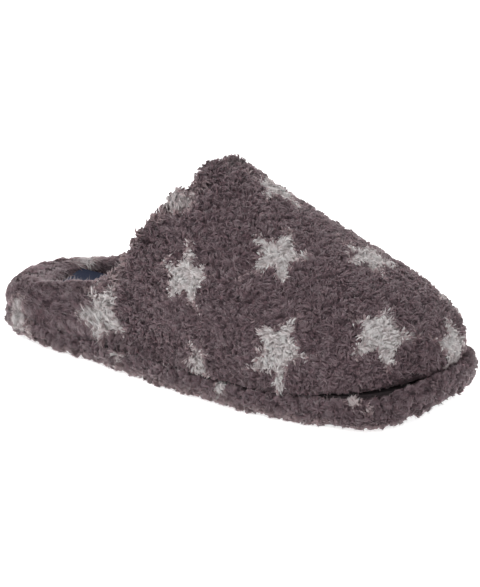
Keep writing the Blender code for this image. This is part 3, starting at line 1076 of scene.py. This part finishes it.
upperPiece = softCopy("vamp_fleece", "upper", vamp["pile"])
bandPiece = softCopy("band_fleece", "platform_wrap", band["pile"])
heelPiece = softCopy("heel_roll_fleece", "heel_collar", heelRoll["pile"])
insolePiece = softCopy("footbed_fleece", "insole", footbed["pile"])
print("soft bases remeshed")

skins = {"vamp": skinTree(upperPiece), "band": skinTree(bandPiece), "heel_roll": skinTree(heelPiece)}
starSeats = seatStars()
print("stars seated")

pileFinish = fleeceFinish("starred teddy fleece")
liningFinish = fleeceFinish("fleece lining")

vampMarks = {"comb": vampComb, "long": vampLong, "rough": vampRough, "seam": vampSeam}
upperBase = fleeceBase(upperPiece, vamp["pile"], 100, vampWeight, vampSettle, **vampMarks)
dressBase("vamp", upperPiece, upperBase, pileFinish)
vampParts = growPile("vamp", upperBase, vamp["pile"], 110, pileFinish)
print("vamp grown")

bandBase = fleeceBase(bandPiece, band["pile"], 200, bandWeight, bandSettle, seam=bandSeam)
dressBase("band", bandPiece, bandBase, pileFinish)
bandParts = growPile("band", bandBase, band["pile"], 210, pileFinish)
print("band grown")

heelMarks = {"comb": heelComb, "long": heelLong, "dim": heelPaintedLight, "seam": heelSeam}
heelBase = fleeceBase(heelPiece, heelRoll["pile"], 300, heelWeight, heelSettle, **heelMarks)
dressBase("heel_roll", heelPiece, heelBase, pileFinish)
heelParts = growPile("heel_roll", heelBase, heelRoll["pile"], 310, pileFinish)
print("heel roll grown")

insoleBase = fleeceBase(insolePiece, footbed["pile"], 400, footbedWeight, footbedSettle, dim=footbedPaintedShade)
dressBase("footbed", insolePiece, insoleBase, liningFinish)
insoleParts = growPile("footbed", insoleBase, footbed["pile"], 410, liningFinish)
print("footbed grown")

rideAll([upperPiece, *vampParts], "upper")
rideAll([bandPiece, *bandParts], "platform_wrap")
rideAll([heelPiece, *heelParts], "heel_collar")
rideAll([insolePiece, *insoleParts], "insole")

label = {"navy": (0.009, 0.011, 0.022), "navyLight": (0.028, 0.033, 0.056), "threads": 900, "wander": 0.4}


def labelFinish():
    look = Finish("navy woven label", Roughness=0.85, Specular_IOR_Level=0.12)
    sockets = {"Vector": look.place(), "Scale": label["threads"], "Distortion": label["wander"]}
    warp, weft = (
        look.node("ShaderNodeTexWave", {"wave_type": "BANDS", "bands_direction": way}, sockets, "Fac") for way in "XY"
    )
    weave = warp * 0.5 + weft * 0.5
    look.drive("Base Color", look.mix(weave, label["navy"], label["navyLight"]))
    look.drive("Normal", look.bump(weave, 0.5, 0.0002))
    return look.material


sole = {"dark": (0.022, 0.019, 0.020), "light": (0.045, 0.040, 0.042), "grain": 900, "dots": 260.0}


def soleFinish():
    look = Finish("sole rubber", Roughness=0.7)
    place = look.place()
    grain = look.noise(place, sole["grain"], 3.0)
    sockets = {"Vector": place, "Scale": sole["dots"], "Randomness": 0.0}
    dots = look.node("ShaderNodeTexVoronoi", {"feature": "F1"}, sockets)
    look.drive("Base Color", look.mix(grain, sole["dark"], sole["light"]))
    look.drive("Normal", look.bump((dots * 2.0).clamped() + grain * 0.2, 0.6, 0.0006))
    return look.material


foam = {"dark": (0.020, 0.013, 0.015), "light": (0.035, 0.024, 0.027), "grain": 1200}


def foamFinish():
    look = Finish("platform foam", Roughness=0.85)
    grain = look.noise(look.place(), foam["grain"], 3.0)
    look.drive("Base Color", look.mix(grain, foam["dark"], foam["light"]))
    look.drive("Normal", look.bump(grain, 0.4, 0.0003))
    return look.material


for node, finish in (
    ("insole_label", labelFinish()),
    ("outsole", soleFinish()),
    ("platform_midsole", foamFinish()),
):
    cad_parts[node].data.materials[0] = finish
print("label, sole and foam finished")


def addFloor():
    size = studio["floorSize"]
    mesh = bpy.data.meshes.new("floor")
    mesh.from_pydata([(-size, -size, 0), (size, -size, 0), (size, size, 0), (-size, size, 0)], [], [(0, 1, 2, 3)])
    floor = link("floor", mesh)
    look = Finish("white floor", Roughness=0.95, Emission_Strength=studio["floorGlow"])
    look.drive("Base Color", studio["floorColour"])
    look.drive("Emission Color", (1.0, 1.0, 1.0))
    mesh.materials.append(look.material)
    floor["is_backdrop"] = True


def addLight():
    world = bpy.data.worlds.new("studio")
    world.use_nodes = True
    sky = world.node_tree.nodes["Background"]
    sky.inputs["Color"].default_value = (1, 1, 1, 1)
    sky.inputs["Strength"].default_value = studio["world"]
    bpy.context.scene.world = world
    for index, (place, aim, size, watts) in enumerate(studio["lamps"], 1):
        data = bpy.data.lights.new(f"softbox {index}", "AREA")
        data.shape, data.size, data.energy = "DISK", size, watts
        lamp = link(f"softbox {index}", data)
        lamp.location = place
        lamp.rotation_euler = (Vector(place) - Vector(aim)).to_track_quat("Z", "Y").to_euler()


def addCamera():
    data = bpy.data.cameras.new("camera")
    data.sensor_fit, data.sensor_width, data.lens = "AUTO", 36, view["lens"]
    data.clip_start, data.clip_end = 0.1, 100
    camera = link("camera", data)
    axes = Matrix([view["right"], view["up"], view["back"]]).transposed().to_4x4()
    place = (Vector(view["aim"]) + Vector(view["back"]) * view["distance"]) * mm
    camera.matrix_world = Matrix.Translation(place) @ axes
    bpy.context.scene.camera = camera


addFloor()
addLight()
addCamera()
bpy.context.scene.view_settings.view_transform = "Standard"
print("floor, light and camera placed")

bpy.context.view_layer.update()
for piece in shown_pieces():
    print(piece.name, sum(len(p.vertices) - 2 for p in piece.data.polygons), "triangles")
